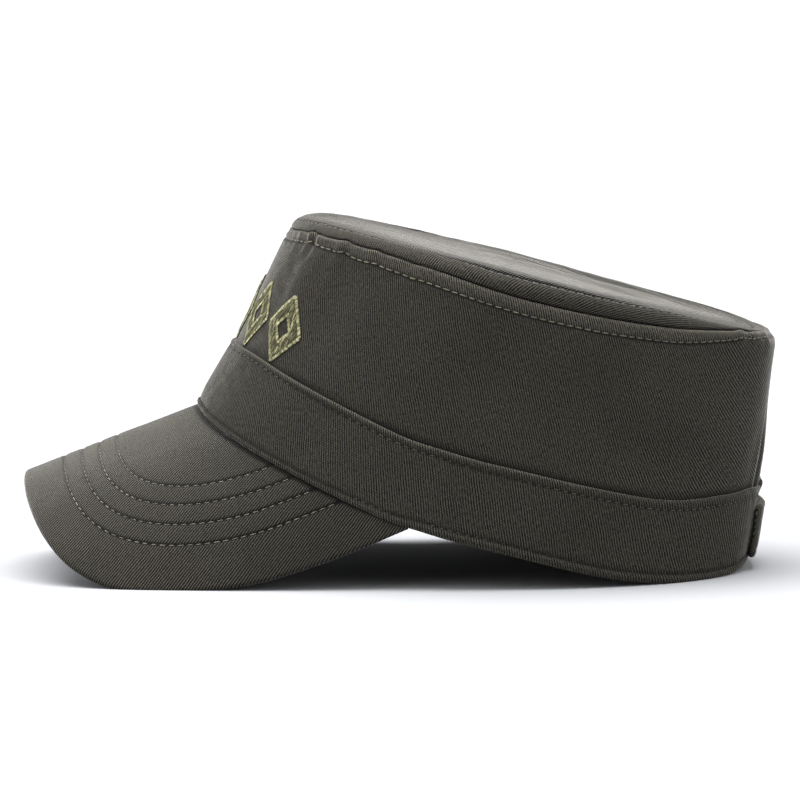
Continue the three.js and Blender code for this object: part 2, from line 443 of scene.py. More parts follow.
# How far round the wall an angle lies from the front, and back again, measured on the middle of the wall
roundAngles = np.linspace(-180, 180, 721)
roundPoints = np.array([bareSkin(a, -wallLength(a) / 2)[:] for a in roundAngles])
roundSteps = np.linalg.norm(np.diff(roundPoints, axis=0), axis=1)
roundArc = centredSum(roundSteps)


def arcAt(angle):
    return between(angle, roundAngles, roundArc)


def angleAt(arc):
    return between(arc, roundArc, roundAngles)


# Cloth pieces: a grid whose rows run round the cloth's section and whose columns run along it

def spread(low, high, count):
    return [low + (high - low) * k / count for k in range(count + 1)]


edgeSteps = 5
edgeTurns = [math.pi * k / edgeSteps for k in range(1, edgeSteps)]


# (along, inset) pairs: up the outer face, over the folded edge, down the inner face, round the lower edge
def foldedSection(outer, inner, thickness):
    radius = thickness / 2
    section = [(along, 0) for along in outer]
    section += [(outer[-1] + radius * math.sin(a), radius * (1 - math.cos(a))) for a in edgeTurns]
    section += [(along, thickness) for along in reversed(inner)]
    section += [(outer[0] - radius * math.sin(a), thickness - radius * (1 - math.cos(a))) for a in edgeTurns]
    return section + [section[0]]


# Each edging is one more material and the row it starts at
def clothPiece(name, node, slotName, columns, rows, place, material, edgings=()):
    bm = bmesh.new()
    bmesh.ops.create_grid(bm, x_segments=columns, y_segments=rows, size=0.5)
    uvLayer = bm.loops.layers.uv.new("cloth")
    # Each point's mark: painted shade below 0, wear and painted highlights above 0
    wearAndPaintedLightLayer = bm.verts.layers.float.new("wear")
    flat = {}
    rowOf = {}
    for vert in bm.verts:
        column = round((vert.co.x + 0.5) * columns)
        row = round((vert.co.y + 0.5) * rows)
        rowOf[vert.index] = row
        point, uv, wear = place(column, row)
        vert.co = press(point)
        vert[wearAndPaintedLightLayer] = wear
        flat[vert.index] = uv
    for face in bm.faces:
        face.smooth = True
        firstRow = min(rowOf[vert.index] for vert in face.verts)
        face.material_index = sum(firstRow >= start for _, start in edgings)
        for loop in face.loops:
            loop[uvLayer].uv = flat[loop.vert.index]
    bmesh.ops.remove_doubles(bm, verts=bm.verts, dist=1e-6)
    bmesh.ops.dissolve_degenerate(bm, dist=1e-7, edges=bm.edges)
    bmesh.ops.recalc_face_normals(bm, faces=bm.faces)
    obj = finishPiece(name, bm, slotName, material, *[edging for edging, _ in edgings])
    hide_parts(node)
    ends = list(zip((min, max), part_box(node)))
    off = max(abs(end(c[k] for c in obj.bound_box) - side[k]) for end, side in ends for k in range(3))
    print(f"{name}: {len(obj.data.polygons)} faces, box within {off / mm:.1f} mm of {node}")


def finishPiece(name, bm, slotName, *materials):
    mesh = newMesh(name, bm)
    for material in materials:
        mesh.materials.append(material)
    obj = addObject(name, mesh)
    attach(obj, "root")
    return obj


# Materials

# add makes a node, sets or joins its inputs and gives back one of its outputs
def newMaterial(name):
    material = bpy.data.materials.new(name)
    material.use_nodes = True
    tree = material.node_tree
    tree.nodes.clear()

    def add(kind, inputs=None, output=0, **settings):
        node = tree.nodes.new("ShaderNode" + kind)
        for key, value in settings.items():
            setattr(node, key, value)
        for key, value in (inputs or {}).items():
            if isinstance(value, bpy.types.NodeSocket):
                tree.links.new(value, node.inputs[key])
            else:
                node.inputs[key].default_value = value
        return node.outputs[output] if len(node.outputs) else node
    return material, add


def calc(add, operation, *values):
    return add("Math", dict(enumerate(values)), operation=operation)


def grain(add, place, scale, detail=2.0, roughness=0.5):
    return add("TexNoise", {"Vector": place, "Scale": scale, "Detail": detail, "Roughness": roughness}, "Fac")


def ranged(add, value, low, high, start=(0, 1)):
    ends = {"From Min": start[0], "From Max": start[1], "To Min": low, "To Max": high}
    return add("MapRange", {"Value": value, **ends})


def toned(add, colour, value, hue=0.5):
    return add("HueSaturation", {"Hue": hue, "Value": value, "Color": colour})


def blended(add, share, low, high):
    return add("Mix", {"Factor": share, 6: low, 7: high}, 2, data_type="RGBA")


def surface(add, values):
    add("OutputMaterial", {"Surface": add("BsdfPrincipled", values)})


twillLook = {
    "ridge": (0.063, 0.0585, 0.0465),
    # the grooves' near-black colour is painted shade between the ribs
    "groove": (0.0025, 0.0025, 0.0022),
    "pitch": 0.87,  # mm from rib to rib
    "sharpness": 2.5,  # narrows the ribs' light crests
    "float": 0.9,  # mm along a rib from yarn to yarn
    "yarns": 0.3,  # how much the yarns shade a rib
    "drift": 0.9,  # mm by which the ribs wander, slowly and quickly
    "wobble": 0.22,
    "level": 0.3,  # the weave's tone where the ribs fade
    "patchy": 0.45,  # how clear the ribs stay there
    "fading": (0.36, 0.6),
    "slubs": 0.7,
    "slubShape": (0.75, 1.5, 1),
    "fibres": 0.8,
    "shades": (0.82, 1.18),
    "hues": (0.485, 0.515),
    "bump": 0.00022,
    "bumpStrength": 0.45,
    "sheen": 0.42,
    "sheenRoughness": 0.22,
}
# lighter than the wall's cloth: painted light on the top, which faces the lamps
topLook = {
    **twillLook,
    "ridge": (0.09, 0.083, 0.066),
    "pitch": 0.82,
    "patchy": 0.7,
    "sheen": 0.8,
    "sheenRoughness": 0.28,
    "bump": 0.0004,
    "bumpStrength": 1.0,
}
shadedTopLook = {**topLook, "ridge": (0.078, 0.072, 0.057)}  # a darker copy of the top's cloth for its margin: painted shade
# the turned-down margin takes the wall's sheen and the darker colour: painted shade
edgeLook = {**twillLook, "ridge": shadedTopLook["ridge"], "pitch": topLook["pitch"]}
# lighter than the wall's cloth: painted light on the upward-facing peak
peakLook = {
    **twillLook,
    "ridge": (0.102, 0.094, 0.074),
    "pitch": 0.92,
    "patchy": 0.9,
    "sharpness": 3,
    "slubs": 0.4,
    "sheen": 0.66,
    "bump": 0.0003,
    "bumpStrength": 0.6,
}
strapLook = {**twillLook, "sharpness": 1.5, "slubs": 0.4, "patchy": 0.3}

# Scale for each mm, detail and roughness of the cloth's unevenness
weaveNoise = {
    "drift": (0.12,),
    "wobble": (1.6, 1.0),
    "fading": (0.2,),
    "fibres": (2.4, 3.0, 0.65),
    "shades": (0.035, 3.0),
    "hues": (0.16,),
}


# Twill whose ribs run at ribAngle in the piece's own flat coordinates
def twill(name, ribAngle, look):
    material, add = newMaterial(name)
    uv = add("UVMap", output="UV", uv_map="cloth")
    turn = (0, 0, -math.radians(ribAngle))
    flat = add("Mapping", {"Vector": uv, "Scale": (1000, 1000, 1), "Rotation": turn})
    spots = {part: grain(add, flat, *values) for part, values in weaveNoise.items()}
    drawn = add("VectorMath", {0: flat, 1: look["slubShape"]}, operation="MULTIPLY")
    spots["slubs"] = grain(add, drawn, 1.0, 1.0)
    running, level = (add("SeparateXYZ", {"Vector": flat}, axis) for axis in "XY")
    across = calc(add, "MULTIPLY_ADD", spots["drift"], look["drift"], level)
    across = calc(add, "MULTIPLY_ADD", spots["wobble"], look["wobble"], across)
    ribs = calc(add, "SINE", calc(add, "MULTIPLY", across, 2 * math.pi / look["pitch"]))
    ribs = calc(add, "POWER", calc(add, "MULTIPLY_ADD", ribs, 0.5, 0.5), look["sharpness"])
    yarns = calc(add, "MULTIPLY", running, 2 * math.pi / look["float"])
    yarns = calc(add, "SINE", calc(add, "MULTIPLY_ADD", across, math.pi / look["pitch"], yarns))
    yarns = calc(add, "MULTIPLY_ADD", yarns, look["yarns"], 1 - look["yarns"] / 2)
    weave = calc(add, "MULTIPLY_ADD", ribs, yarns, -look["level"])
    clear = ranged(add, spots["fading"], look["patchy"], 1.0, look["fading"])
    weave = calc(add, "MULTIPLY_ADD", weave, clear, look["level"])
    for part in ("slubs", "fibres"):
        centred = calc(add, "SUBTRACT", spots[part], 0.5)
        weave = calc(add, "MULTIPLY_ADD", centred, look[part], weave)
    groove = (*look["groove"], 1)
    wear = add("Attribute", output="Fac", attribute_name="wear")  # below 0: painted shade in seams, under edges and past folds; above 0: wear and painted highlights
    mixed = blended(add, weave, groove, (*look["ridge"], 1))
    mixed = blended(add, calc(add, "MULTIPLY", wear, -1.0), mixed, groove)
    light = calc(add, "MAXIMUM", calc(add, "ADD", wear, 1.0), 1.0)
    tone = calc(add, "MULTIPLY", ranged(add, spots["shades"], *look["shades"]), light)
    mixed = toned(add, mixed, tone, ranged(add, spots["hues"], *look["hues"]))
    bump = add("Bump", {"Strength": look["bumpStrength"], "Distance": look["bump"], "Height": weave})
    surface(add, {
        "Base Color": mixed,
        "Roughness": 0.95,
        "Specular IOR Level": 0.12,
        "Sheen Weight": look["sheen"],
        "Sheen Roughness": look["sheenRoughness"],
        "Sheen Tint": (1.0, 0.97, 0.92, 1),
        "Normal": bump,
    })
    return material


threadLook = {
    "twist": 0.45,  # mm from turn to turn
    "speckScale": 1800.0,
    "specks": (0.7, 1.3),
    "plies": (0.55, 1.15),
    "bump": 0.0001,
    "bumpStrength": 0.6,
}


def threadMaterial(name, colour, bright, roughness, sheen):
    material, add = newMaterial(name)
    look = threadLook
    shade = add("Attribute", output="Fac", attribute_name="shade")
    uv = add("UVMap", output="UV", uv_map="cloth")
    along, around = (add("SeparateXYZ", {"Vector": uv}, axis) for axis in "XY")
    turns = calc(add, "MULTIPLY", along, 2 * math.pi * 1000 / look["twist"])
    turns = calc(add, "SINE", calc(add, "MULTIPLY_ADD", around, 4 * math.pi, turns))
    plies = calc(add, "MULTIPLY_ADD", turns, 0.5, 0.5)
    specks = grain(add, add("TexCoord", output="Object"), look["speckScale"])
    mixed = blended(add, shade, (*colour, 1), (*bright, 1))
    mixed = toned(add, mixed, ranged(add, specks, *look["specks"]))
    mixed = toned(add, mixed, ranged(add, plies, *look["plies"]))
    bump = add("Bump", {"Strength": look["bumpStrength"], "Distance": look["bump"], "Height": plies})
    surface(add, {
        "Base Color": mixed,
        "Roughness": roughness,
        "Specular IOR Level": 0.4,
        "Sheen Weight": sheen,
        "Sheen Roughness": 0.4,
        "Normal": bump,
    })
    return material


def plainMaterial(name, colour, roughness, shine=0.2, scale=900.0, tones=(0.85, 1.15)):
    material, add = newMaterial(name)
    value = ranged(add, grain(add, add("TexCoord", output="Object"), scale), *tones)
    mixed = toned(add, (*colour, 1), value)
    surface(add, {"Base Color": mixed, "Roughness": roughness, "Specular IOR Level": shine})
    return material


sideTwill = twill("side twill", 116, twillLook)
topTwill = twill("top twill", 131, topLook)
# less shiny, darker copies of the top cloth towards its margin: painted shade
topTwills = [twill(f"top twill {level}", 131, {**shadedTopLook, "sheen": level}) for level in (0.68, 0.56, 0.45)]
topEdgeTwill = twill("top edge twill", 131, edgeLook)
bandTwill = twill("band twill", 110, twillLook)
peakTwill = twill("peak twill", 57, peakLook)
strapTwill = twill("strap twill", 112, strapLook)
seamThread = threadMaterial("seam thread", (0.045, 0.041, 0.027), (0.2, 0.182, 0.118), 0.6, 0.2)
# near-black needle holes, which also paint the stitches' shadows where a row enlarges them
holeDark = plainMaterial("needle hole", (0.004, 0.004, 0.003), 1.0)
print("materials made")


# Crown side: the wall from inside the band to the top seam

side = {
    "columns": 600,
    "marginDepth": 0.016,
    "marginRows": 34,
    "wallRows": 26,
    "innerRows": 16,
    "rowPlaces": (0, 30, 45, 60, 105, 123, 138, 151),  # degrees from the front
    "rowBelow": (4.1, 4.1, 4.9, 5.3, 5.4, 5.0, 4.1, 3.3),  # stitch row below the seam, mm
    "puff": 0.00032,
    "valley": (-0.00045, 0, 0.0007),  # amount, place and width, as in the other streaks
    "pucker": (0.0003, 0.0046),
    "swell": (0.0007, 0.034),
    # the side's folded top edge is lighter: wear and a painted highlight
    "seamWearAndHighlight": (0.8, 0.0005, 0.0007),
    # the margin above the stitch row is made lighter
    "marginLightening": 0.62,
    "marginEnd": (0.8, 1.1),  # shares of the stitch row's distance
    # painted shadow just below the stitch row
    "rowShadow": (-0.95, 0.0005, 0.00055),
    "bandShade": (-0.85, 0, 0.0012),
    "rearStretch": 1.27,
    "rearSpan": (105, 140),
}

# Small tucks that run down from the top seam: angle, width in degrees, reach in mm, depth in mm
tucks = [
    (18, 1.5, 10, 0.4),
    (24.6, 1.2, 11, 0.6),
    (27.6, 1.1, 12, -0.7),
    (33, 2.0, 17, 0.35),
    (39, 1.4, 12, 0.6),
    (42.4, 1.2, 12, -0.6),
    (50, 1.4, 10, 0.35),
    (53, 1.3, 10, -0.35),
    (-20, 1.4, 11, 0.5),
    (-25, 1.2, 12, -0.6),
    (-36, 1.5, 12, 0.55),
    (-39.5, 1.3, 11, -0.5),
    (146, 1.6, 9, 0.35),
    (150, 1.4, 9, -0.35),
    (163, 2.4, 12, 0.3),
]
tuckWidths = 2.5  # how many widths to each side a tuck is felt

# The upright fold above the strap
backTuck = {
    "angles": (162.4, 171.6),  # the fold leans as it rises
    "span": (120, 215),  # degrees within which it is felt
    "shares": (0.2, 0.75),  # where it starts and ends on the wall
    "ends": (0.3, 0.45),  # shares of its length over which it starts and from which it ends
    "rise": 0.0008,
    "drop": 0.0007,
    "dropWidth": 0.0013,
    "width": 0.0035,
    "bulge": 0.0011,  # the centre back beyond the fold stands out
    "bulgeReach": (0.0012, 0.009),
    "bulgeEnd": (184, 206),
    # a painted highlight along the fold's crest, and painted shade just past it
    "wear": (1.2, 0, 0.0022),
    "shade": (0.35, 0.002, 0.004),
}


@cache
def sideRow(angle):
    return mm * between(fromFront(angle), side["rowPlaces"], side["rowBelow"])


def marginRelief(s, below, row, point):
    puff = s["puff"] * math.sin(math.pi * min(below / row, 1)) if 0 < below < row else 0
    near = fade(abs(below - row * 0.5), *(row * share for share in sewing["puckerReach"]))
    return puff + streak(below - row, s["valley"]) + near * ripple(s["pucker"], point)


# Relief shows less on the inner face
def through(relief, inset):
    return relief * (1 - sewing["innerFade"] * inset / sewing["cloth"])


@cache
def sideRelief(angle, along):
    point = bareSkin(angle, along)
    below = seamPlace(angle) - along
    depth = marginRelief(side, below, sideRow(angle), point)
    for place, width, reach, height in tucks:
        away = fromFront(angle - place) / width
        if away < tuckWidths and below < reach * mm:
            depth += height * mm * bell(away, 1) * math.cos(below / (reach * mm) * math.pi / 2)
    depth += ripple(side["swell"], point)
    b = backTuck
    beyond, strength = backFold(angle, along)
    rise = b["rise"] * bell(beyond, b["width"])
    if beyond > 0:
        dropped = mix(b["rise"], -b["drop"], smoothstep(beyond, 0, b["dropWidth"]))
        bulge = b["bulge"] * fade(angle % 360, *b["bulgeEnd"])
        rise = mix(dropped, bulge, smoothstep(beyond, *b["bulgeReach"]))
    return depth + strength * rise


# How far past the rear fold's crest a place lies, and how strong the fold is there
def backFold(angle, along):
    turned = angle % 360
    first, last = backTuck["span"]
    low, high = backTuck["shares"]
    climb = (1 + along / wallLength(angle) - low) / (high - low)
    if not (first < turned < last and 0 < climb < 1):
        return 1, 0
    place = arcAt(turned) if turned <= 180 else arcAt(turned - 360) + roundArc[-1] - roundArc[0]
    start, end = backTuck["ends"]
    strength = smoothstep(climb, 0, start) * fade(climb, end, 1)
    return place - arcAt(mix(*backTuck["angles"], climb)), strength


@cache
def sideSection(angle):
    edge = sewing["cloth"] / 2
    high = seamPlace(angle) - sewing["gap"] / 2 - edge
    low = -wallLength(angle) + sewing["bandRise"] + edge
    margin = high - side["marginDepth"]
    outer = spread(low, margin, side["wallRows"])[:-1] + spread(margin, high, side["marginRows"])
    inner = spread(low, high, side["innerRows"])
    return foldedSection(outer, inner, sewing["cloth"])


# The wall's cloth is stretched on the bias towards the rear, so its ribs open up there
stretchTable = ([0, 105, 135, 150, 180], [1, 1, 0.66, 0.45, 0.42])
stretchedArc = centredSum(roundSteps * np.interp(np.abs(roundAngles[1:] - 0.25), *stretchTable))


def placeSide(column, row):
    angle = -180 + 360 * column / side["columns"]
    along, inset = sideSection(angle)[row]
    below = seamPlace(angle) - along
    sewn = sideRow(angle)
    margin = fade(below, *(sewn * share for share in side["marginEnd"]))
    wear = streak(below, side["seamWearAndHighlight"]) + side["marginLightening"] * margin
    wear += streak(below - sewn, side["rowShadow"])
    beyond, strength = backFold(angle, along)
    wear += strength * (streak(beyond, backTuck["wear"]) - ramp(beyond, backTuck["shade"]))
    overBand = along + wallLength(angle) - bandHeight(angle)
    wear += streak(max(overBand, 0), side["bandShade"])
    if inset > sewing["cloth"] / 2:
        wear = 0
    stretch = mix(1, side["rearStretch"], smoothstep(fromFront(angle), *side["rearSpan"]))
    height = (along + wallLength(angle) / 2) * stretch
    uv = (between(angle, roundAngles, stretchedArc), height + inset)
    return skin(angle, along, through(sideRelief(angle, along), inset) - inset), uv, wear


sideRows = len(sideSection(0)) - 1
clothPiece("crown_side_cloth", "crown_side", "crown_cloth", side["columns"], sideRows, placeSide, sideTwill)


# Crown top: the oval panel, with its margin turned down to the seam

lid = {
    "columns": 560,
    "marginDepth": 0.014,
    "marginRows": 32,
    "flatRows": 28,
    "innerRows": 12,
    "rowPlaces": (0, 35, 60, 95, 125, 145, 180),  # degrees
    "rowBeyond": (4.7, 5.2, 7.2, 7.6, 6.2, 4.5, 4.1),  # mm in from the seam
    "dome": 0.0017,  # the soft top stands up a little inside its left margin
    "sag": 0.0009,  # and sags inside its right one
    "domeAcross": (-0.045, 0.03),
    "domeReach": (0.001, 0.018),
    "puff": 0.00055,
    "valley": (-0.0006, 0, 0.0006),
    "pucker": (0.00022, 0.0055),
    "swell": (0.0008, 0.04),
    "swellReach": (0.006, 0.012),
    "frontRelief": (0.3, 1),  # the margin's relief is weaker at the front and at the rear
    "frontSpan": (35, 65),
    "rearRelief": (1, 0.25),
    "rearSpan": (92, 125),
    "seamShade": (-0.95, 0, 0.00048),
    "rowShade": (-0.95, 0, 0.0007),
    # painted highlight on the wrinkles' crests and painted shade in their troughs
    "wrinkleShading": 0.6,
    "nearShade": (0.5, -0.01, 0.04),
    "nearStart": (0, 0.0006),
    "nearReach": (0.006, 0.022),
    "rearShade": (0.3, 0.02, 0.08),
    "dullRows": (-5, 0, 9),  # after the flat rows, where the darker, less shiny copies of the top cloth start: painted shade
    "sewnShare": 0.55,
}

# Long wrinkles of the slack top along its right rear rim: mm in from the seam, width, height in mm
wrinkles = [
    (8.5, 1.5, -0.8),
    (12.5, 1.8, 1.0),
    (17, 1.9, -0.9),
    (22, 2.2, 1.1),
    (27.5, 2.3, -0.8),
    (33, 2.8, 0.9),
    (41, 3.5, -0.5),
]
slackness = {
    "along": (0.02, 0.06),  # where the wrinkles lie
    "across": (-0.005, 0.012),
    "bend": (0.0026, 0.03),
    "growth": (1.6, 0.034),
    "middle": 0.75,
    "least": 0.1,
}


def lidRow(angle):
    return mm * between(fromFront(angle), lid["rowPlaces"], lid["rowBeyond"])


@cache
def lidRelief(angle, along):
    point = bareSkin(angle, along)
    beyond = along - seamPlace(angle)
    away = fromFront(angle)
    share = mix(*lid["frontRelief"], smoothstep(away, *lid["frontSpan"]))
    share *= mix(*lid["rearRelief"], smoothstep(away, *lid["rearSpan"]))
    depth = marginRelief(lid, beyond, lidRow(angle), point) * share
    dome = mix(-lid["sag"], lid["dome"], smoothstep(point.x, *lid["domeAcross"]))
    depth += dome * smoothstep(beyond, *lid["domeReach"])
    depth += ripple(lid["swell"], point) * smoothstep(beyond, *lid["swellReach"])
    return depth + mm * slack(point, beyond)


# Height of the wrinkles in mm
def slack(point, beyond):
    s = slackness
    rear = smoothstep(point.y, *s["along"]) * smoothstep(-point.x, *s["across"])
    if rear == 0:
        return 0
    bent = beyond - ripple(s["bend"], point)
    depth = 0
    for k, (at, width, height) in enumerate(wrinkles):
        grown = s["middle"] + ripple(s["growth"], point, (0, 0, 3 * k))
        depth += max(grown, s["least"]) * height * bell(bent - at * mm, width * mm)
    return rear * depth


@cache
def lidSection(angle):
    edge = sewing["cloth"] / 2
    centre = shoulderArc + toCentre(angle)
    start = seamPlace(angle) + sewing["gap"] / 2 + edge
    margin = start + lid["marginDepth"]
    outer = spread(centre, margin, lid["flatRows"])[:-1] + spread(margin, start, lid["marginRows"])
    section = [(along, 0) for along in outer]
    section += [(start - edge * math.sin(a), edge * (1 - math.cos(a))) for a in edgeTurns]
    return section + [(along, sewing["cloth"]) for along in spread(start, centre, lid["innerRows"])]


def placeLid(column, row):
    angle = 360 * column / lid["columns"]
    along, inset = lidSection(angle)[row]
    point = skin(angle, along, through(lidRelief(angle, along), inset) - inset)
    beyond = along - seamPlace(angle)
    inside = beyond - lidRow(angle)
    place = bareSkin(angle, along)
    wear = streak(beyond, lid["seamShade"]) + streak(inside, lid["rowShade"])
    wear += lid["wrinkleShading"] * slack(place, beyond)
    near = ramp(place.x, lid["nearShade"]) * smoothstep(inside, *lid["nearStart"])
    wear -= near * fade(beyond, *lid["nearReach"]) + ramp(place.y, lid["rearShade"])
    if inset > sewing["cloth"] / 2:
        wear = 0
    margin = wallLine(angle)[2] * max(shoulderArc - along, 0)  # the turned-down margin laid flat
    level = bareSkin(angle, max(along, shoulderArc))
    return point, (level.x - margin.x, level.y - margin.y), wear


lidRows = len(lidSection(0)) - 1
lidEdgings = [(cloth, lid["flatRows"] + after) for cloth, after in zip(topTwills, lid["dullRows"])]
lidEdgings.append((topEdgeTwill, lid["flatRows"] + round(lid["marginRows"] * lid["sewnShare"])))
clothPiece(
    "crown_top_cloth", "crown_top", "crown_cloth", lid["columns"], lidRows, placeLid, topTwill, lidEdgings
)


# Band: a strip folded over at both edges, open at the centre back

band = {
    "columns": 620,
    "edgeDepth": 0.007,
    "edgeRows": 10,
    "middleRows": 14,
    "innerRows": 8,
    "topRow": (0.0022, 0.0035),  # stitch rows from each edge, at the front and at the rear
    "topRowSpan": (20, 120),
    "hemRow": (0.0023, 0.0037),
    "hemRowSpan": (50, 95),
    "hemValley": (-0.00034, 0, 0.00055),
    "topValley": (-0.000204, 0, 0.00055),
    "hemPuff": 0.0005,
    "topPuff": 0.00018,
    "swell": (0.0005, 0.024),
    "pucker": (0.00016, 0.005),
    "puckerReach": (0.005, 0.011),
    "cornerOut": 0.0004,  # the corners over the strap stand out
    "cornerReach": (0.003, 0.0075),
    "cornerHeight": (0.0238, 0.0262),
    "edgeWearAndHighlight": (0.1, 0.8),  # lighter folded edges, wear and a painted highlight: at the rear and at the front
    "edgeWidth": 0.0006,
    "edgeSpan": (95, 130),
    "hemShade": (-0.8, 0, 0.00055),
    "topShade": (-0.65, 0, 0.0005),
    "bias": 0.6,  # how far the ribs follow the stretched cloth of the wall
}


def topRow(angle):
    return mix(*band["topRow"], smoothstep(fromFront(angle), *band["topRowSpan"]))


def hemRow(angle):
    return mix(*band["hemRow"], smoothstep(fromFront(angle), *band["hemRowSpan"]))


@cache
def bandSection(angle):
    edge = sewing["bandCloth"] / 2
    low = -wallLength(angle) + edge
    high = low + bandHeight(angle) - 2 * edge
    deep = band["edgeDepth"]
    outer = spread(low, low + deep, band["edgeRows"])[:-1]
    outer += spread(low + deep, high - deep, band["middleRows"])[:-1]
    outer += spread(high - deep, high, band["edgeRows"])
    return foldedSection(outer, spread(low, high, band["innerRows"]), sewing["bandCloth"])


@cache
def bandRelief(angle, along):
    point = bareSkin(angle, along)
    height = along + wallLength(angle)
    fromTop = bandHeight(angle) - height
    hem = hemRow(angle)
    upper = topRow(angle)
    depth = streak(height - hem, band["hemValley"]) + streak(fromTop - upper, band["topValley"])
    depth += band["hemPuff"] * bell(height - hem / 2, hem / 3)
    depth += band["topPuff"] * bell(fromTop - upper / 2, upper / 3)
    depth += fade(min(height, fromTop), *band["puckerReach"]) * ripple(band["pucker"], point)
    return depth + ripple(band["swell"], point, (3, 1, 7))


# The inset of a strip whose end is rounded over
def roundedInset(inset, fromEnd, thickness):
    middle = thickness / 2
    return middle + (inset - middle) * math.sqrt(max(1 - max(1 - fromEnd / middle, 0) ** 2, 0))


def placeBand(column, row):
    reach = 180 - sewing["slit"]
    angle = -reach + 2 * reach * column / band["columns"]
    along, inset = bandSection(angle)[row]
    fromEnd = min(column, band["columns"] - column) / band["columns"] * 2 * arcAt(reach)
    inset = roundedInset(inset, fromEnd, sewing["bandCloth"])
    outer = 1 - inset / sewing["bandCloth"]
    out = bandOut - inset + bandRelief(angle, along) * outer
    height = along + wallLength(angle)
    fromTop = bandHeight(angle) - height
    corner = fade(fromEnd, *band["cornerReach"]) * smoothstep(height, *band["cornerHeight"])
    out += band["cornerOut"] * corner
    front = fade(fromFront(angle), *band["edgeSpan"])
    wear = bell(min(height, fromTop), band["edgeWidth"]) * mix(*band["edgeWearAndHighlight"], front)
    wear += streak(height - hemRow(angle), band["hemShade"])
    wear += streak(fromTop - topRow(angle), band["topShade"])
    if outer < sewing["outerMarkShare"]:
        wear = 0
    running = mix(arcAt(angle), between(angle, roundAngles, stretchedArc), band["bias"])
    return skin(angle, along, out), (running, height + inset), wear


bandRows = len(bandSection(0)) - 1
clothPiece("band_cloth", "band", "band_cloth", band["columns"], bandRows, placeBand, bandTwill)


# Peak: a stiff board in cloth, with rows of stitching that follow its edge

def smoothOutline(points, samples=30):
    path = [Vector(p) for p in points]
    path = [2 * path[0] - path[1], *path, 2 * path[-1] - path[-2]]
    out = []
    for p0, p1, p2, p3 in zip(path, path[1:], path[2:], path[3:]):
        t1 = (p1 - p0).length ** 0.5
        t2 = t1 + (p2 - p1).length ** 0.5
        t3 = t2 + (p3 - p2).length ** 0.5
        for k in range(samples):
            t = t1 + (t2 - t1) * k / samples
            a1 = p0.lerp(p1, t / t1)
            a2 = p1.lerp(p2, (t - t1) / (t2 - t1))
            a3 = p2.lerp(p3, (t - t2) / (t3 - t2))
            b1 = a1.lerp(a2, t / t2)
            b2 = a2.lerp(a3, (t - t1) / (t3 - t1))
            out.append(b1.lerp(b2, (t - t1) / (t2 - t1)))
    out.append(path[-2])
    return out


def evenly(points):
    array = np.array([p[:] for p in points])
    lengths = np.concatenate([[0], np.cumsum(np.linalg.norm(np.diff(array, axis=0), axis=1))])
    return array, lengths


half = [(x * mm, y * mm) for x, y in peakOutline]
edgePoints, edgeLengths = evenly(smoothOutline([(-x, y) for x, y in reversed(half[1:])] + half))


def peakEdge(share):
    at = share * edgeLengths[-1]
    return Vector([between(at, edgeLengths, edgePoints[:, k]) for k in range(2)])


# Half width and reach of a stitch row
def rowSize(index):
    return (
        peak["rowAcross"] - index * peak["rowStepAcross"],
        peak["rowAhead"] - index * peak["rowStepAhead"],
    )


def rowDistance(across, ahead, index):
    a, b = rowSize(index)
    p = peak["rowPowerAcross"]
    q = peak["rowPowerAhead"]
    x = abs(across) / a
    y = max(ahead - peak["rowCentre"], 0) / b
    slope = math.hypot(p * x ** (p - 1) / a, q * y ** (q - 1) / b)
    return (x**p + y**q - 1) / max(slope, 1)


def peakRelief(across, ahead):
    away = [rowDistance(across, ahead, k) for k in range(peak["rowCount"])]
    depth = -peak["valley"] * sum(bell(d, peak["valleyWidth"]) for d in away)
    if away[0] < 0 < away[-1]:
        nearest = min(abs(d) for d in away)
        depth += peak["quilt"] * smoothstep(nearest, 0, peak["quiltReach"])
    return depth + ripple(peak["swell"], Vector((across, ahead, 0)))


@cache
def peakColumn(column):
    share = 2 * column / peak["columns"] - 1
    angle = share * peak["endAngle"]
    root = Vector(peakPlace(oval(head, angle, bandOut - peak["tuck"])))
    above = hemHeight(angle) - sewing["gap"] - peakPoint(*root).z
    if abs(share) > 0.001 and above > 0.0002:
        root.x -= above / math.sin(root.x / peak["radius"])
    edge = peakEdge((share + 1) / 2)
    reach = (edge - root).length
    rounding = min(peak["thickness"] / 2, reach / 4)
    upper = [(inset, 0) for inset in spread(reach, rounding, peak["upperRows"])]
    lip = []
    for k in range(1, peak["lipSteps"]):
        a = math.pi * k / peak["lipSteps"]
        lip.append((rounding * (1 - math.sin(a)), peak["thickness"] / 2 * (1 - math.cos(a))))
    lower = [(inset, peak["thickness"]) for inset in spread(rounding, reach, peak["lowerRows"])]
    return root, edge, reach, upper + lip + lower + upper[:1]


def placePeak(column, row):
    p = peak
    root, edge, reach, section = peakColumn(column)
    inset, depth = section[row]
    flat = root.lerp(edge, 1 - inset / reach)
    upper = 1 - depth / p["thickness"]
    tip = smoothstep(1 - abs(2 * column / p["columns"] - 1), 0, p["tipTaper"])
    lift = peakRelief(*flat) * upper - depth * mix(p["tipThickness"], 1, tip)
    rows = sum(bell(rowDistance(*flat, k), p["rowShadeWidth"]) for k in range(p["rowCount"]))
    wear = upper * (streak(inset, p["edgeWearAndHighlight"]) + streak(reach - inset - p["tuck"], p["rootShade"]))
    wear -= p["rowShade"] * upper * rows + ramp(1 - upper, p["underShade"])
    wear -= ramp(abs(flat.x), p["wingShade"]) + ramp(-flat.y, p["rearShade"])
    return peakPoint(*flat, lift), tuple(flat), wear


peakRows = len(peakColumn(0)[3]) - 1
clothPiece("peak_cloth", "peak", "peak_cloth", peak["columns"], peakRows, placePeak, peakTwill)


# Adjuster strap: a stitched tab across the rear opening, free at the wearer's left

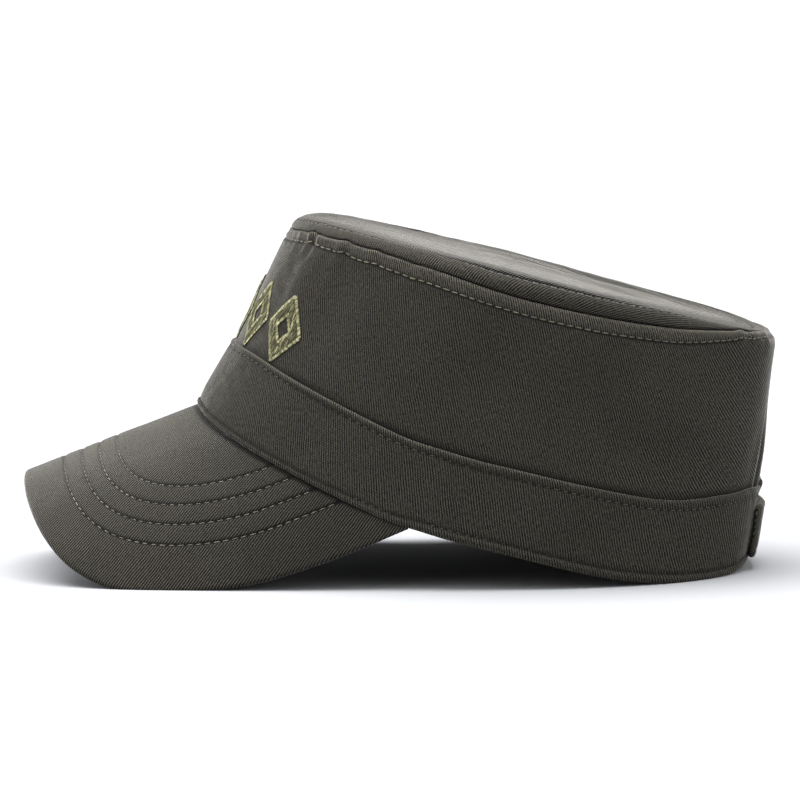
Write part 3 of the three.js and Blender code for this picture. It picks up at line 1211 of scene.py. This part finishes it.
strap = {
    "thickness": 0.0029,
    "bottom": 0.0047,
    "top": 0.0248,
    "sewnX": -0.030,
    "freeX": 0.0232,
    "tip": 0.004,
    "columns": 110,
    "endColumns": 24,
    "outerRows": 34,
    "innerRows": 10,
    "lift": 0.0001,  # how far the free end stands off the band
    "liftLength": 0.011,
    "bulge": 0.0005,  # the middle of its height stands out
    "row": 0.0026,
    "valley": 0.0003,
    "valleyWidth": 0.0007,
    "swell": (0.00025, 0.009),
    # lighter edge: wear and a painted highlight
    "edgeWearAndHighlight": (0.7, 0, 0.0007),
    "endShade": 0.8,
    "crossReach": 0.013,  # how far the crossed stitches reach in from the sewn end
}


def rearAngle(x):
    share = (abs(x) / (head["width"] / 2 + bandOut)) ** (head["squareness"] / 2)
    return 180 - math.copysign(math.degrees(math.asin(share)), x)


def strapEnds(x):
    past = max(x - (strap["freeX"] - strap["tip"]), 0)
    corner = strap["tip"] - math.sqrt(max(strap["tip"] ** 2 - past**2, 0))
    return strap["bottom"] + corner, strap["top"] - corner


def strapOut(x):
    free = smoothstep(x, strap["freeX"] - strap["liftLength"], strap["freeX"])
    return sewing["gap"] + bandOut + strap["thickness"] + strap["lift"] * free


def strapPoint(x, height, out):
    angle = rearAngle(x)
    share = (height - strap["bottom"]) / (strap["top"] - strap["bottom"])
    bulge = strap["bulge"] * math.sin(math.pi * min(max(share, 0), 1))
    return skin(angle, height - hemHeight(angle) - wallLength(angle), out + bulge)


# Columns lie closer together round the free end
def strapPlace(column):
    s = strap
    rounded = s["freeX"] - s["thickness"] / 2
    straight = s["columns"] - s["endColumns"]
    if column <= straight:
        return mix(s["sewnX"], rounded, column / straight)
    turn = (column - straight) / s["endColumns"] * math.pi / 2
    return rounded + s["thickness"] / 2 * math.sin(turn)


@cache
def strapSection(column):
    x = strapPlace(column)
    low, high = strapEnds(x)
    edge = min(strap["thickness"] / 2, (high - low) / 2.2)
    outer, inner = (spread(low + edge, high - edge, strap[rows]) for rows in ("outerRows", "innerRows"))
    return x, foldedSection(outer, inner, strap["thickness"])


def placeStrap(column, row):
    s = strap
    x, section = strapSection(column)
    height, inset = section[row]
    fromEnd = min(x - s["sewnX"], s["freeX"] - x)
    inset = roundedInset(inset, fromEnd, s["thickness"])
    outer = 1 - inset / s["thickness"]
    edge = min(height - s["bottom"], s["top"] - height, fromEnd)
    relief = ripple(s["swell"], Vector((x, height, 5)))
    relief -= s["valley"] * bell(edge - s["row"], s["valleyWidth"])
    past = max(column - s["columns"] + s["endColumns"], 0) / s["endColumns"]
    wear = streak(edge, s["edgeWearAndHighlight"]) if outer > sewing["outerMarkShare"] else 0
    wear -= s["endShade"] * past * (1 - outer)
    running = x + past * (math.pi / 2 - 1) * s["thickness"] / 2
    return strapPoint(x, height, strapOut(x) - inset + relief * outer), (running, height + inset), wear


strapRowCount = len(strapSection(0)[1]) - 1
clothPiece(
    "strap_cloth", "adjuster_strap", "strap_cloth", strap["columns"], strapRowCount, placeStrap, strapTwill
)


# Stitching: slim threads between needle holes, along rows of points on the cloth

stitch = {
    "pitch": 0.0033,
    "length": 0.0028,
    "lengths": (0.93, 1.05),  # how much they differ
    "widths": (0.9, 1.1),
    "height": 0.00042,
    "sunk": 0.00002,
    "hole": (0.00068, 0.0006, 0.00016),
    "rearShade": 0.2,  # threads are darker at the rear: painted shade
    "rearAlong": (0.05, 0.1),
    "rings": 8,
    "segments": 6,
    "holeRings": 4,
    "ringSteps": 900,  # points along a row, from which its stitches are placed
    "wingSteps": 120,
    "curveSteps": 240,
    "lineSteps": 40,
    "lean": 3.5,  # degrees
    "leans": (-2.5, 2.5),
    "rowEnd": 1.2,  # degrees from the band's ends
}


# How each row lies: how deep, how wide and between what shades its threads are
# Lighter shade ranges paint light on rows that catch it, darker ones paint shade; larger holes paint stitch
# shadows
rowKinds = {
    "top_stitches": {"sunk": 0, "width": 0.0005, "bright": (0, 0.35), "hole": 2.1},
    "side_stitches": {"sunk": 0, "width": 0.0006, "bright": (0.4, 0.9), "hole": 1.2},
    "band_stitches": {"sunk": 0.0001, "width": 0.00046, "bright": (0, 0.35), "hole": 1.7},
    "peak_stitches": {"sunk": 0.00003, "width": 0.00046, "bright": (0.3, 0.9), "hole": 1.4},
    "strap_stitches": {"sunk": 0, "width": 0.0005, "bright": (0.2, 0.6), "hole": 1.2},
}


# One thread: a sphere of radius 1 to be stretched, its UVs running along and round it
def threadShape(rings, segments):
    bm = bmesh.new()
    bmesh.ops.create_uvsphere(bm, u_segments=segments, v_segments=rings, radius=1)
    uvLayer = bm.loops.layers.uv.new("cloth")
    bm.verts.layers.float.new("shade")
    for face in bm.faces:
        face.smooth = True
        for loop in face.loops:
            x, y, z = loop.vert.co
            loop[uvLayer].uv = (z * stitch["length"] / 2, math.atan2(y, x) / (2 * math.pi))
    return newMesh("thread shape", bm)


def newThreads():
    bm = bmesh.new()
    bm.loops.layers.uv.new("cloth")
    bm.verts.layers.float.new("shade")
    return bm


def addThread(bm, shape, centre, tangent, normal, size, shade):
    aside = normal.cross(tangent).normalized()
    face = tangent.cross(aside).normalized()
    axes = Matrix((aside * size[1] / 2, face * size[2] / 2, tangent * size[0] / 2)).transposed().to_4x4()
    place = Matrix.Translation(centre) @ axes
    shadeLayer = bm.verts.layers.float["shade"]
    count = len(bm.verts)
    bm.from_mesh(shape)
    bm.verts.ensure_lookup_table()
    for vert in bm.verts[count:]:
        vert.co = place @ vert.co
        vert[shadeLayer] = shade


threadForm = threadShape(stitch["rings"], stitch["segments"])
holeForm = threadShape(stitch["holeRings"], stitch["segments"])


# A row is a list of (point, normal) pairs
def sewRow(threads, holes, row, dice, s, kind):
    points, lengths = evenly([p for p, _ in row])
    normals = np.array([n[:] for _, n in row])
    count = max(round(lengths[-1] / s["pitch"]), 1)
    pitch = lengths[-1] / count

    def at(distance, table):
        return Vector([between(distance, lengths, table[:, k]) for k in range(3)])

    for k in range(count):
        middle = (k + 0.5) * pitch
        start = at(middle - s["length"] / 2, points)
        end = at(middle + s["length"] / 2, points)
        normal = at(middle, normals).normalized()
        tangent = (end - start).normalized()
        lean = math.radians(s["lean"] + dice.uniform(*s["leans"]))
        tangent = Matrix.Rotation(lean, 3, normal) @ tangent
        long = s["length"] * dice.uniform(*s["lengths"])
        centre = at(middle, points) - normal * (s["sunk"] + kind["sunk"])
        size = (long, kind["width"] * dice.uniform(*s["widths"]), s["height"])
        shade = dice.uniform(*kind["bright"])
        shade *= mix(1, s["rearShade"], smoothstep(centre.y, *s["rearAlong"]))
        addThread(threads, threadForm, centre, tangent, normal, size, shade)
        hole = at(k * pitch, points)
        addThread(holes, holeForm, hole, tangent, normal, [size * kind["hole"] for size in s["hole"]], 0)


def ringRow(reach, place, relief, lift=0):
    row = []
    for angle in spread(-reach, reach, stitch["ringSteps"]):
        along = place(angle)
        row.append((skin(angle, along, lift + relief(angle, along)), skinNormal(angle, along)))
    return row


def bandRow(height):
    reach = 180 - sewing["slit"] - stitch["rowEnd"]
    return ringRow(reach, lambda angle: -wallLength(angle) + height(angle), bandRelief, bandOut)


def peakRow(index):
    a, b = rowSize(index)
    straight = [(a, ahead) for ahead in spread(peak["rowStart"], peak["rowCentre"], stitch["wingSteps"])]
    curve = []
    for turn in spread(90, 0, stitch["curveSteps"])[1:]:
        t = math.radians(turn)
        across = a * math.sin(t) ** (2 / peak["rowPowerAcross"])
        curve.append((across, peak["rowCentre"] + b * max(math.cos(t), 0) ** (2 / peak["rowPowerAhead"])))
    half = straight + curve
    row = []
    for across, ahead in half + [(-x, y) for x, y in reversed(half[:-1])]:
        point = peakPoint(across, ahead, peakRelief(across, ahead))
        normal = (peakPoint(across, ahead, 0.001) - peakPoint(across, ahead)).normalized()
        if outsideBand(point):
            row.append((point, normal))
    return row


def outsideBand(point):
    grow = bandOut + sewing["gap"]
    x = abs(point.x) / (head["width"] / 2 + grow)
    y = abs(point.y - head["centreY"]) / (head["length"] / 2 + grow)
    return x ** head["squareness"] + y ** head["squareness"] > 1


def strapRows():
    inset = strap["row"]
    left = strap["sewnX"] + inset
    right = strap["freeX"] - inset
    low = strap["bottom"] + inset
    high = strap["top"] - inset
    box = left + strap["crossReach"]
    corner = strap["tip"] - inset

    def line(path):
        row = []
        for (x0, z0), (x1, z1) in zip(path, path[1:]):
            for share in spread(0, 1, stitch["lineSteps"])[:-1]:
                x = mix(x0, x1, share)
                z = mix(z0, z1, share)
                angle = rearAngle(x)
                along = z - hemHeight(angle) - wallLength(angle)
                row.append((strapPoint(x, z, strapOut(x) - strap["valley"]), skinNormal(angle, along)))
        return row

    outline = [(left, low), (right - corner, low), (right, low + corner), (right, high - corner)]
    outline += [(right - corner, high), (left, high), (left, low)]
    crossed = [line([(left, low), (box, high)]), line([(left, high), (box, low)])]
    return [line(outline), line([(box, low), (box, high)]), *crossed]


dice = random.Random(7)
holes = newThreads()
rowsByPiece = {
    "top_stitches": [ringRow(180, lambda angle: seamPlace(angle) + lidRow(angle), lidRelief)],
    "side_stitches": [ringRow(180, lambda angle: seamPlace(angle) - sideRow(angle), sideRelief)],
    "band_stitches": [bandRow(lambda angle: bandHeight(angle) - topRow(angle)), bandRow(hemRow)],
    "peak_stitches": [peakRow(k) for k in range(peak["rowCount"])],
    "strap_stitches": strapRows(),
}
for name, rows in rowsByPiece.items():
    threads = newThreads()
    for row in rows:
        sewRow(threads, holes, row, dice, stitch, rowKinds[name])
    sewn = finishPiece(name, threads, "stitch_thread", seamThread)
    print(f"{name}: {len(sewn.data.polygons)} faces")
finishPiece("needle_holes", holes, "stitch_thread", holeDark)


# Motif: a row of open lozenges embroidered across the front, above the band

motif = {
    "places": [-44, -22, 0, 22, 44],  # mm from the centre front
    "halfWidth": 0.0098,
    "halfHeight": 0.0133,
    "hole": 0.36,  # size of the open middle, as a share
    "above": 0.0137,  # the middle of a lozenge over the band's edge
    "dome": 0.0007,
    "sunk": 0.0006,
    "aroundSteps": 96,
    "acrossSteps": 9,
    "satinLength": 0.0018,
    "satinPitch": 0.00042,
    "satinSize": (0.00044, 0.0004),
    "satinLean": 18,  # degrees
    "satinLeans": (-6, 6),
    "satinLengths": (0.85, 1.1),
    "satinOut": 0.0004,
    # random per thread: the few bright threads paint glints
    "satinShades": (0.08, 1),
    "outerSize": 0.94,
    "innerSize": 0.06,  # more than the open middle
    "fillLength": 0.0030,
    "fillPitch": 0.00052,
    "fillSize": (0.00042, 0.0003),
    "fillInside": (0.12, 0.88),
    "fillLeans": (-0.12, 0.12),
    "fillOut": (0, 0.0001),
    "fillShade": 0.75,
    "threadEnd": 0.0005,  # how far from its middle a thread's direction is taken
    "wallPlace": -0.03,  # a place on the wall, from which a thread faces outwards
}


def motifPoint(arc, height, out):
    angle = angleAt(arc)
    along = -wallLength(angle) + bandHeight(angle) + height
    return skin(angle, along, sideRelief(angle, along) + out)


# A corner walk round a lozenge of size 1: share 0 to 1 gives a point on its outline
def lozenge(share):
    corners = [(1, 0), (0, 1), (-1, 0), (0, -1), (1, 0)]
    leg = min(int(share * 4), 3)
    t = share * 4 - leg
    return Vector(corners[leg]).lerp(Vector(corners[leg + 1]), t)


def motifDome(size):
    across = (size - motif["hole"]) / (1 - motif["hole"])
    return motif["dome"] * math.sqrt(max(math.sin(math.pi * min(max(across, 0), 1)), 0))


def motifPatch(bm, centre):
    patch = newThreads()
    m = motif
    rows = 2 * m["acrossSteps"]
    bmesh.ops.create_grid(patch, x_segments=m["aroundSteps"], y_segments=rows, size=0.5)
    uvLayer = patch.loops.layers.uv["cloth"]
    for vert in patch.verts:
        share = min(max(vert.co.x + 0.5, 0), 1) % 1
        row = round((vert.co.y + 0.5) * rows)
        upper = row <= m["acrossSteps"]
        across = row / m["acrossSteps"] if upper else 2 - row / m["acrossSteps"]
        size = mix(m["hole"], 1, across)
        flat = lozenge(share) * size
        out = motifDome(size) if upper else -m["sunk"]
        arc = centre + flat.x * m["halfWidth"]
        vert.co = motifPoint(arc, m["above"] + flat.y * m["halfHeight"], out)
        for loop in vert.link_loops:
            loop[uvLayer].uv = (arc, flat.y * m["halfHeight"])
    bmesh.ops.remove_doubles(patch, verts=patch.verts, dist=1e-6)
    bmesh.ops.recalc_face_normals(patch, faces=patch.faces)
    for face in patch.faces:
        face.smooth = True
    bm.from_mesh(newMesh("motif patch", patch))


def motifThread(threads, arc, height, direction, long, size, out, shade):
    ahead = direction.normalized() * motif["threadEnd"]
    start = motifPoint(arc - ahead.x, height - ahead.y, out)
    end = motifPoint(arc + ahead.x, height + ahead.y, out)
    middle = (start + end) / 2
    normal = skinNormal(angleAt(arc), motif["wallPlace"])
    addThread(threads, threadForm, middle, (end - start).normalized(), normal, (long, *size), shade)


def motifOutline(threads, centre, size, dice):
    m = motif
    perimeter = 4 * math.hypot(m["halfWidth"], m["halfHeight"]) * size
    count = round(perimeter / m["satinPitch"])
    for k in range(count):
        share = (k + 0.5) / count
        flat = lozenge(share) * size
        along = lozenge((share + 0.001) % 1) - lozenge((share - 0.001) % 1)
        direction = Vector((-along.y * m["halfHeight"], along.x * m["halfWidth"]))
        lean = math.radians(m["satinLean"] + dice.uniform(*m["satinLeans"]))
        direction.rotate(Matrix.Rotation(lean, 2))
        arc = centre + flat.x * m["halfWidth"]
        height = m["above"] + flat.y * m["halfHeight"]
        long = m["satinLength"] * dice.uniform(*m["satinLengths"])
        shade = mix(*m["satinShades"], dice.random() ** 2)
        motifThread(threads, arc, height, direction, long, m["satinSize"], m["satinOut"], shade)


def motifFill(threads, centre, dice):
    m = motif
    inner, outer = m["fillInside"]
    columns = int(2 * m["halfWidth"] / m["fillPitch"])
    for k in range(columns):
        x = -1 + 2 * (k + 0.5) / columns
        start = dice.uniform(0, 1)
        steps = int(2 * m["halfHeight"] / m["fillLength"]) + 1
        for j in range(-1, steps):
            y = -1 + 2 * (j + start) / (steps - 1)
            size = abs(x) + abs(y)
            if m["hole"] + inner < size < outer:
                direction = Vector((dice.uniform(*m["fillLeans"]), 1))
                out = motifDome(size) + dice.uniform(*m["fillOut"])
                arc = centre + x * m["halfWidth"]
                height = m["above"] + y * m["halfHeight"]
                shade = m["fillShade"] * dice.random() ** 3
                motifThread(threads, arc, height, direction, m["fillLength"], m["fillSize"], out, shade)


# its bright colour, which few threads reach, paints glints
goldThread = threadMaterial("gold thread", (0.055, 0.053, 0.015), (0.56, 0.54, 0.28), 0.35, 0.1)
goldGround = plainMaterial("motif ground", (0.03, 0.028, 0.012), 0.8)
patches = newThreads()
gold = newThreads()
for place in motif["places"]:
    motifPatch(patches, place * mm)
    motifOutline(gold, place * mm, motif["outerSize"], dice)
    motifOutline(gold, place * mm, motif["hole"] + motif["innerSize"], dice)
    motifFill(gold, place * mm, dice)
finishPiece("motif_fill", patches, "motif_thread", goldGround)
print("motif:", len(finishPiece("motif_threads", gold, "motif_thread", goldThread).data.polygons), "faces")


# Floor and light

studio = {
    "floorSize": 60,
    "floorColour": (0.256, 0.26, 0.271),
    "floorRoughness": 0.9,
    "floorShine": 0.1,
    "floorGrain": 40.0,
    "floorTones": (0.99, 1.01),
    "keyStrength": 10.0,
    "keyTilt": (-8, -8),  # degrees from straight overhead, towards +X and -Y
    "lightAngle": 60,  # degrees across, so shadows are soft
    "sideLights": {"rear light": (2.9, (0.35, 1, 0.55)), "front light": (2.5, (0.35, -1, 0.55))},
    "world": 0.5,
}


def sunLight(name, strength, angle, direction):
    data = bpy.data.lights.new(name, "SUN")
    data.energy = strength
    data.angle = math.radians(angle)
    obj = addObject(name, data)
    obj.rotation_mode = "QUATERNION"
    obj.rotation_quaternion = Vector(direction).to_track_quat("Z", "Y")


def makeStudio(s):
    bm = bmesh.new()
    bmesh.ops.create_grid(bm, x_segments=2, y_segments=2, size=s["floorSize"] / 2)
    mesh = newMesh("floor", bm)
    look = (s["floorRoughness"], s["floorShine"], s["floorGrain"], s["floorTones"])
    mesh.materials.append(plainMaterial("pale floor", s["floorColour"], *look))
    addObject("floor", mesh)
    x, y = (math.tan(math.radians(t)) for t in s["keyTilt"])
    sunLight("key", s["keyStrength"], s["lightAngle"], (x, y, 1))
    for name, (strength, direction) in s["sideLights"].items():
        sunLight(name, strength, s["lightAngle"], direction)
    world = bpy.data.worlds.new("studio")
    world.use_nodes = True
    background = world.node_tree.nodes["Background"].inputs
    background["Color"].default_value = (1, 1, 1, 1)
    background["Strength"].default_value = s["world"]
    bpy.context.scene.world = world
    bpy.context.scene.view_settings.view_transform = "Standard"


makeStudio(studio)
print("floor and light made")
